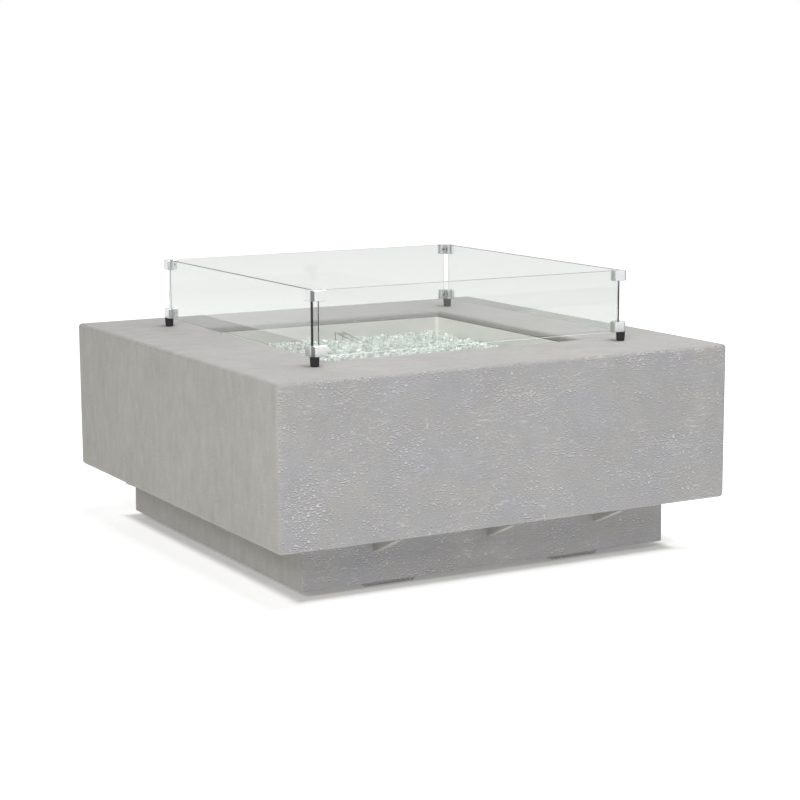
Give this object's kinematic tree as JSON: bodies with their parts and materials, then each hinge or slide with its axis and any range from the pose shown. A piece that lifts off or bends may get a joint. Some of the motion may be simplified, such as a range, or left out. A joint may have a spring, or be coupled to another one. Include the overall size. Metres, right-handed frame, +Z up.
{
  "type": "fire pit table",
  "caption": "Square concrete gas fire pit table: hollow block on a smaller plinth, sunken burner pan filled with crushed glass, lift-off glass wind guard on corner clips, rear gas controls.",
  "frame": {"origin": "on the floor under the centre of the square table", "axes": "+Z up; -Y is the front; +Y is the rear, the face with the gas controls; +X is to the right of someone who faces the front"},
  "size_m": [0.915, 0.915, 0.5205],
  "materials": {
    "concrete": "cast glass-fibre concrete, matt light grey with fine chips",
    "zinc_steel": "zinc-plated steel",
    "stainless": "brushed stainless sheet, wire and tube",
    "polished_steel": "polished steel",
    "brass": "machined brass",
    "cast_aluminium": "die-cast aluminium",
    "aluminium_tube": "drawn aluminium tube",
    "clip_aluminium": "satin aluminium",
    "fire_glass": "crushed clear tempered glass",
    "clear_glass": "clear tempered sheet glass with ground edges",
    "white_ceramic": "white alumina ceramic",
    "black_plastic": "moulded black plastic",
    "black_rubber": "moulded black rubber",
    "clear_rubber": "clear soft gasket strip"
  },
  "bodies": {
    "table": {"table_block": "concrete", "plinth": "concrete", "joint_brackets": "zinc_steel", "bracket_bolts": "zinc_steel", "pan_clips": "zinc_steel", "pan_clip_screws": "zinc_steel", "burner_pan": "stainless", "burner_ring": "stainless", "burner_lock_nut": "zinc_steel", "air_mixer": "brass", "gas_orifice": "brass", "fire_glass": "fire_glass", "pilot_bracket": "stainless", "electrode_insulator": "white_ceramic", "electrode_rod": "stainless", "thermocouple": "brass", "igniter_guard": "stainless", "control_tray": "stainless", "tray_screws": "zinc_steel", "knob_bezel": "polished_steel", "valve_nut": "zinc_steel", "valve_body": "cast_aluminium", "stem_spring": "zinc_steel", "igniter_housing": "black_plastic", "igniter_ring_nut": "polished_steel", "igniter_battery": "polished_steel", "igniter_spring": "zinc_steel", "burner_tube": "aluminium_tube", "inlet_tube": "aluminium_tube", "tube_nuts": "brass", "gas_inlet_union": "brass", "union_lock_nut": "brass"},
    "wind_guard": {"lower_clips": "clip_aluminium", "upper_clips": "clip_aluminium", "clip_gaskets": "clear_rubber", "guard_feet": "black_rubber", "glass_front": "clear_glass", "glass_right": "clear_glass", "glass_rear": "clear_glass", "glass_left": "clear_glass"},
    "knob_slider": {"stem_washer": "zinc_steel"},
    "knob": {"valve_stem": "brass", "control_knob": "black_plastic"},
    "push_button": {"igniter_button": "black_plastic"}
  },
  "joints": [
    {"name": "wind_guard_lift", "type": "slide", "parent": "table", "child": "wind_guard", "axis": [0, 0, 1], "range_m": [0, 0.2]},
    {"name": "knob_push", "type": "slide", "parent": "table", "child": "knob_slider", "axis": [0, -1, 0], "range_m": [0, 0.003], "stiffness_N_per_m": 800, "springref_m": -0.005, "deforming": ["stem_spring"]},
    {"name": "knob_turn", "type": "hinge", "parent": "knob_slider", "child": "knob", "pos_m": [0, 0.44, 0.196], "axis": [0, 1, 0], "range_deg": [0, 200]},
    {"name": "igniter_push", "type": "slide", "parent": "table", "child": "push_button", "axis": [0, -1, 0], "range_m": [0, 0.0035], "stiffness_N_per_m": 600, "springref_m": -0.006, "deforming": ["igniter_spring"]}
  ]
}
